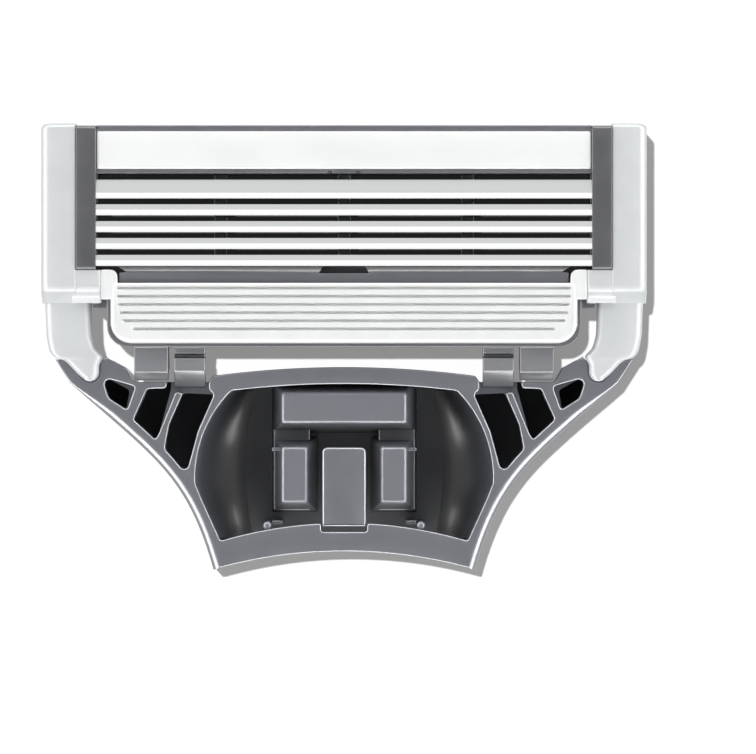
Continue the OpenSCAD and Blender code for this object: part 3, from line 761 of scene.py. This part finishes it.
# %% connector outlines
def wing_edge(t):
    """The outer edge of the right wing: a cubic with four control points."""
    c = np.array([(19.05, -2.5), (13.25, -7.75), (NECK_HALF + 1.9, NECK_Y + 6.75),
                  (NECK_HALF, NECK_Y)])
    t = np.asarray(t)[:, None]
    return ((1 - t) ** 3 * c[0] + 3 * (1 - t) ** 2 * t * c[1] + 3 * (1 - t) * t**2 * c[2]
            + t**3 * c[3])


def shell_back(x):
    """Height of the back shell's outside: level, then lifting as the 1.4th power."""
    return 2.4 * np.clip((abs(x) - NECK_HALF) / (HALF_W - NECK_HALF), 0, None) ** 1.4


def both(half):
    """A right half outline, from the top centre round to the bottom centre, with its mirror."""
    return np.vstack([half, half[::-1] * [-1, 1]])


WING = wing_edge(np.linspace(0, 1, 44))
ALONG = np.gradient(wing_edge(np.linspace(0, 1, 17)), axis=0)
ALONG /= np.linalg.norm(ALONG, axis=1)[:, None]
INSIDE = wing_edge(np.linspace(0, 1, 17)) + ALONG[:, ::-1] * [1, -1]
TOP_ARCH = arc((-9.145, -2), (9.145, -2), 0.61, 41)[20:]
FOOT_ARCH = arc((NECK_HALF, NECK_Y), (-NECK_HALF, NECK_Y), -1.27, 41)[:21]
SHELF = [(9.42, -2.45), (9.42, -2.95)]
LEDGE = [(14.68, -2.43), (15.2, -1.46), (16.24, -0.9)]
SEAT = np.vstack([[(16.62, -0.66), (16.97, -1.2)],
                  arc((18.24, -2.21), (16.97, -1.75), 0.46, 14)[::-1],
                  [(19.49, -0.92), (20.1, -0.86)]])
WINDOW_3 = np.array([(9.06, -3.3), (10.2, -5.9), (10.87, -8.4), *INSIDE[7:10][::-1],
                     (12.17, -5.4), (11.62, -4.15), (11.2, -3.2)])
WINDOW_2 = np.array([(13.7, -2.92), (12.18, -2.97), (12.91, -6.05), *INSIDE[4:7][::-1]])
WINDOW_1 = np.array([(16.7, -2.5), (16.4, -2.22), (14.55, -2.75), (15.1, -4.35), INSIDE[2]])
SIDE = np.vstack([arc((7.84, -3.05), (10.34, -9.5), 0.73, 24), [(9.94, -10.5), (8.65, -13.36)]])
MOUTH = 8.15
HOLLOW_TOP = arc((-7.84, -3.05), (7.84, -3.05), 0.48, 41)[20:]
BAND_TOP = arc((8.55, -13.46), (-8.55, -13.46), -1.24, 41)[:21]
KEEN = np.array([(20.1, -0.86), (16.62, -0.66), (NECK_HALF, NECK_Y)])


def outline(half, soft, radius=0.25):
    """A closed outline from a right half, or from the points alone if not soft, with its corners
    rounded where they turn by more than 25 degrees, apart from the wing tip's and the neck's."""
    p = thinned(both(half) if soft else np.asarray(half, float))
    back, on = p - np.roll(p, 1, 0), np.roll(p, -1, 0) - p
    turn = (back * on).sum(1) / np.linalg.norm(back, axis=1) / np.linalg.norm(on, axis=1)
    keen = np.linalg.norm(np.abs(p)[:, None] * [1, -1] - KEEN, axis=2).min(1) < 0.05
    return thinned(rounded(p, np.where((turn < math.cos(CRISP)) & ~keen, radius, 0)))


WINDOWS = [outline(WINDOW_1, False), outline(WINDOW_1, False) * [-1, 1]]
WINDOW_3S = [outline(WINDOW_3, False), outline(WINDOW_3, False) * [-1, 1]]
full = outline(np.vstack([TOP_ARCH, [(9.395, -2.43)], LEDGE, [(20.1, -0.86)], WING, FOOT_ARCH]),
               True, 0.12)
notched = np.vstack([TOP_ARCH, SHELF, WINDOW_3, [(11.72, -3.1)], [(12.91, -6.05)],
                     INSIDE[4:7][::-1], [(13.7, -2.92), (12.4, -2.88), (12.3, -2.43)], LEDGE, SEAT])
foot_side = FOOT_ARCH[FOOT_ARCH[:, 0] > MOUTH]
throat = np.vstack([foot_side, [(MOUTH, foot_side[-1, 1]), (MOUTH, -13.35), (8.55, -13.46)],
                    SIDE[::-1], HOLLOW_TOP[::-1]])
notch = [(1.6, -12.27), (1.6, -12.86), (0, -12.86)]
hollow = outline(np.vstack([HOLLOW_TOP, SIDE, BAND_TOP[BAND_TOP[:, 0] > 2], notch]), True, 0.2)
open_low = np.vstack([TOP_ARCH, [(9.395, -2.43), (12.07, -2.43), (12.07, -2.92)], WINDOW_2[2:],
                      [(13.78, -3.16), (14.7, -3.08), (14.7, -2.43)], LEDGE[1:], [(20.1, -0.86)]])
inner_1 = WINDOW_1 + [[0, 0], [0, 0], [0.4, -0.25], [0.1, 0], [0, 0]]
low_holes = [outline(inner_1, False), outline(inner_1, False) * [-1, 1], *WINDOW_3S]
front = outline(np.vstack([notched, WING, FOOT_ARCH]), True, 0.2)


def front_radii(o):
    """0.6 mm along the wings' outer edges, falling to 0.1 at their tips, and 0.1 elsewhere."""
    o = anticlockwise(o)
    middle = (o + np.roll(o, -1, 0)) / 2
    line = wing_edge(np.linspace(0, 1, 1500))
    gap = np.linalg.norm(np.abs(middle)[:, None] * [1, -1] - line[None], axis=2).min(1)
    wide = np.interp(abs(middle[:, 0]), [NECK_HALF, 8.6, 16.5, 18.9], [0.1, 0.6, 0.6, 0.1])
    return np.where(gap < 0.03, wide, 0.1)


# %% the connector's walls
def walls(x):
    """Height at which the walls start, inside the back shell."""
    return shell_back(x) + SHELL_T / 2


back_shell = plate(full, [], shell_back, lambda x: shell_back(x) + SHELL_T, [0.0], foot=0.1)
low_walls = plate(outline(np.vstack([open_low, WING, throat]), True, 0.12), low_holes, walls, 4.4,
                  [0.0] * 5)
mid_walls = plate(outline(np.vstack([notched, WING, throat]), True, 0.12), WINDOWS, 4.39, 5.06,
                  [0.0] * 3)
top_walls = plate(front, [hollow, *WINDOWS], 5.05, CONN_T,
                  [front_radii(front), 0.09, 0.12, 0.12])

# %% [markdown]
# ## Tower and hollow
#
# The tower centres the handle's neck. It is drafted so that it leaves the mould. The curve of
# the hollow's side wall is only in this finished model: the CAD keeps that space open for the
# handle's prongs, so fits are taken from the CAD.

# %% tower and hollow
TOWER_TOP, TOWER_DRAFT, TOWER_EDGE = 5.3, 0.75, 0.22
FOOT = SHELL_T - 0.2
FILLET_W, FILLET_H, FLANK_X = 3.4, 3.9, 5.4


def block(x0, x1, y0, y1, low, high, draft=0.0, edge=0.2):
    """A drafted block with rounded corners and edges; its size is the one at its foot. A ring at
    height z is inset by draft x (z - low) / (high - low), and by e(1 - cos a) more at the height
    high - e(1 - sin a)."""
    a = np.linspace(0, np.pi / 2, 7)
    z = np.concatenate([[low], high - edge * (1 - np.sin(a))])
    d = draft * (z - low) / (high - low) + np.concatenate([[0], edge * (1 - np.cos(a))])
    rings = [np.column_stack([thinned(rounded([(x0 + i, y0 + i), (x1 - i, y0 + i), (x1 - i, y1 - i),
                                               (x0 + i, y1 - i)], edge)), np.full(24, h)])
             for h, i in zip(z, d)]
    return loft(np.array(rings))


def tower():
    """The drafted block at the tower's head, and its two side posts on their footings."""
    head = block(-5.1, 5.1, -6.05, -2.4, FOOT, TOWER_TOP, TOWER_DRAFT, TOWER_EDGE)
    post = block(1.8, 5.1, -11.6, -6.2, FOOT, TOWER_TOP, TOWER_DRAFT, TOWER_EDGE)
    base = block(2.3, 5.05, -11.5, -5.6, FOOT, 2.4, 0.1, 0.1)
    step = block(4.3, 5.04, -7.25, -7.0, FOOT, 4.2, 0, 0.06)
    lower_step = block(4.3, 5.04, -12.35, -12.1, FOOT, 4.2, 0, 0.06)
    turn = np.linspace(0, 2 * np.pi, 24, endpoint=False)
    pip = np.stack([5.35 + 0.3 * np.cos(turn), -12.42 + 0.3 * np.sin(turn)], 1)
    right = together(post, base, step, lower_step, slab(pip, FOOT, 5.75, 0.2))
    return together(head, right, mirrored(right))


def side_fillet():
    """The hollow's side wall curves into its floor: along the side, an ellipse's quarter from
    the wall, at a distance w(1 - cos a) from it and a height h(1 - sin a) above the floor. Both
    are less where the wall is nearer the tower's flank."""
    path = np.vstack([SIDE[:-1], [(9.4, -11.9), SIDE[-1]]])
    share = ((path[:, 0] - FLANK_X) / (SIDE[:, 0].max() - FLANK_X))[:, None]
    a = np.linspace(0, np.pi / 2, 14)
    d = np.concatenate([FILLET_W * (1 - np.cos(a)), [FILLET_W, -0.15, -0.15]])
    z = np.concatenate([FILLET_H * (1 - np.sin(a)), [-0.3, -0.3, FILLET_H]])
    flat = np.stack([path[:, :1] - d * share, np.broadcast_to(path[:, 1:], (len(path), len(d)))], 2)
    height = SHELL_T + np.where(z < 0, z, z * share**0.5)
    return loft(np.concatenate([flat, height[..., None]], 2))


# %% the connector's piece
fillet = side_fillet()
shown = piece("connector_moulded",
              together(back_shell, low_walls, mid_walls, top_walls, tower(), fillet,
                       mirrored(fillet)), connector_abs, "connector", "connector")
# The connector's floor is painted nearly black, as painted shade.
painted(shown, floor_painted_shade, lambda m, n, k: (n[:, 2] > 0.5) & (k < len(back_shell[1])))
# The tower and the hollow's curve get painted shade, darker the deeper they lie.
inner = sum(len(made[1]) for made in (back_shell, low_walls, mid_walls, top_walls))
painted(shown, hollow_painted_shade, lambda m, n, k: k >= inner)

# %% [markdown]
# ## Floor
#
# The floor is a pale card that glows a little, so that shadows on it stay light. A rectangle under the
# head is painted nearly black, as painted shade: the head's frame is open behind the blades, and
# without the rectangle the lit card would show through the blade gaps. It isn't part of the object,
# and it shows as a dark strip beside the head when the head is pivoted.

# %% floor
CARD, GLOW, SHADE_PATCH_GLOW = "#505050", 0.26, 0.012
SHADE_PATCH_HALF_X, SHADE_PATCH_Y, SHADE_PATCH_HALF_Y = 0.0175, 0.0103, 0.0052
# Matt card that glows: it gives a nearly white ground with a pale shadow.
floor_white = finish_of("lit_card", CARD, 0.9, 1.0, 0.0, **{"Emission Color": (1, 1, 1, 1)})
grid = np.array([(-2, -2, 0), (2, -2, 0), (2, 2, 0), (-2, 2, 0)], float) * 1000
tree = floor_white.node_tree
place = node(tree, "ShaderNodeSeparateXYZ", {
    "Vector": node(tree, "ShaderNodeTexCoord").outputs["Object"]})
# A rectangle under the head is painted nearly black with almost no glow: painted shade.
across = node(tree, "ShaderNodeMath", {0: place.outputs["X"], 1: 0.0, 2: SHADE_PATCH_HALF_X},
              operation="COMPARE")
along = node(tree, "ShaderNodeMath", {0: place.outputs["Y"], 1: SHADE_PATCH_Y, 2: SHADE_PATCH_HALF_Y},
             operation="COMPARE")
under = node(tree, "ShaderNodeMath", {0: across.outputs[0], 1: along.outputs[0]},
             operation="MULTIPLY")
glow = node(tree, "ShaderNodeMapRange", {
    "Value": under.outputs[0], "To Min": GLOW, "To Max": SHADE_PATCH_GLOW})
card = next(n for n in tree.nodes if n.type == "BSDF_PRINCIPLED")
tree.links.new(glow.outputs[0], card.inputs["Emission Strength"])
shade = node(tree, "ShaderNodeMix", {
    0: under.outputs[0], 6: linear(CARD), 7: (0, 0, 0, 1)}, data_type="RGBA")
tree.links.new(shade.outputs[2], card.inputs["Base Color"])
floor = piece("floor", (grid - [0, Y_SHIFT, 0], [[0, 1, 2, 3]]), floor_white, None)

# %% [markdown]
# ## Light
#
# The sun lights the floor alone, for the crisp shadow. A ring of boxes is seen only in
# reflections and gives the mouldings their bright edges; the steel is left out of it, because
# it would turn white. One more box lights the housing's ledge and passes through other pieces.
# The sky is bright in a ring and dark overhead, so that the blades' flats and ground faces
# differ.

# %% sun
floor_only = bpy.data.collections.new("floor_only")
floor_only.objects.link(floor)
sun = bpy.data.objects.new("key", bpy.data.lights.new("key", "SUN"))
sun.data.energy, sun.data.angle = 24.0, math.radians(1.2)
sun.rotation_euler = (math.radians(-6.5), math.radians(-5.8), 0)
sun.light_linking.receiver_collection = floor_only
bpy.context.collection.objects.link(sun)


# %% boxes of light
def softbox(name, azimuth, elevation, distance, width, height, brightness, glossy_only=False):
    """A rectangular light facing the object. Its power is brightness x pi x its area."""
    lamp = bpy.data.lights.new(name, "AREA")
    lamp.shape, lamp.size, lamp.size_y = "RECTANGLE", width, height
    lamp.energy = brightness * math.pi * width * height
    made = bpy.data.objects.new(name, lamp)
    a, e = math.radians(azimuth), math.radians(elevation)
    away = np.array([math.sin(a) * math.cos(e), math.cos(a) * math.cos(e), math.sin(e)])
    made.location = away * distance
    made.rotation_euler = (math.pi / 2 - e, 0, math.pi - a)
    made.visible_camera = False
    made.visible_diffuse = not glossy_only
    bpy.context.collection.objects.link(made)
    return made


BOX = (0.4, 0.33, 0.3)
EDGE_LIGHTS, EDGE_BRIGHT, LEDGE_BRIGHT = 8, 11.0, 2.5
mouldings = bpy.data.collections.new("mouldings")
for thing in list(bpy.data.objects):
    if thing.type == "MESH" and not thing.name.startswith(("blade_", "floor")):
        mouldings.objects.link(thing)
for k in range(EDGE_LIGHTS):
    lamp = softbox(f"edge_light_{k}", 22.5 + 45 * k, 28, *BOX, EDGE_BRIGHT, glossy_only=True)
    lamp.light_linking.receiver_collection = mouldings

ledge_only = bpy.data.collections.new("ledge_only")
ledge_only.objects.link(housing)
ledge_lamp = softbox("ledge_light", 0, 35, *BOX, LEDGE_BRIGHT)
ledge_lamp.light_linking.receiver_collection = ledge_only
ledge_lamp.light_linking.blocker_collection = floor_only

# %% sky
world = bpy.data.worlds.new("studio")
world.use_nodes = True
tree = world.node_tree
tree.nodes.clear()
up = node(tree, "ShaderNodeSeparateXYZ", {
    "Vector": node(tree, "ShaderNodeTexCoord").outputs["Generated"]})
ramp = node(tree, "ShaderNodeValToRGB", {"Fac": up.outputs["Z"]})
stops = [(0.0, 0.5), (0.36, 0.5), (0.50, 0.85), (0.80, 0.9), (0.88, 1.2), (0.95, 0.25),
         (1.0, 0.15)]
while len(ramp.color_ramp.elements) < len(stops):
    ramp.color_ramp.elements.new(0.5)
for element, (at, level) in zip(ramp.color_ramp.elements, stops):
    element.position, element.color = at, (level, level, level, 1)
sky = node(tree, "ShaderNodeBackground", {"Color": ramp.outputs["Color"], "Strength": 1.25})
node(tree, "ShaderNodeOutputWorld", {"Surface": sky.outputs[0]})
bpy.context.scene.world = world
print("sky:", len(stops), "steps from the horizon's underside to overhead")

# %% [markdown]
# ## Camera
#
# The camera looks straight down from 0.6 m above the part, with a long lens.

# %% camera
SENSOR, DISTANCE, FIELD = 36, 0.600, 0.0525
camera = bpy.data.objects.new("camera", bpy.data.cameras.new("camera"))
camera.location = (0.00236, -0.00208, 0.607)
camera.data.sensor_width = SENSOR
camera.data.lens = SENSOR * DISTANCE / FIELD
camera.data.clip_start, camera.data.clip_end = 0.01, 10
bpy.context.collection.objects.link(camera)
scene = bpy.context.scene
scene.camera = camera
scene.view_settings.view_transform = "Standard"
print("camera:", round(camera.data.lens, 1), "mm lens")
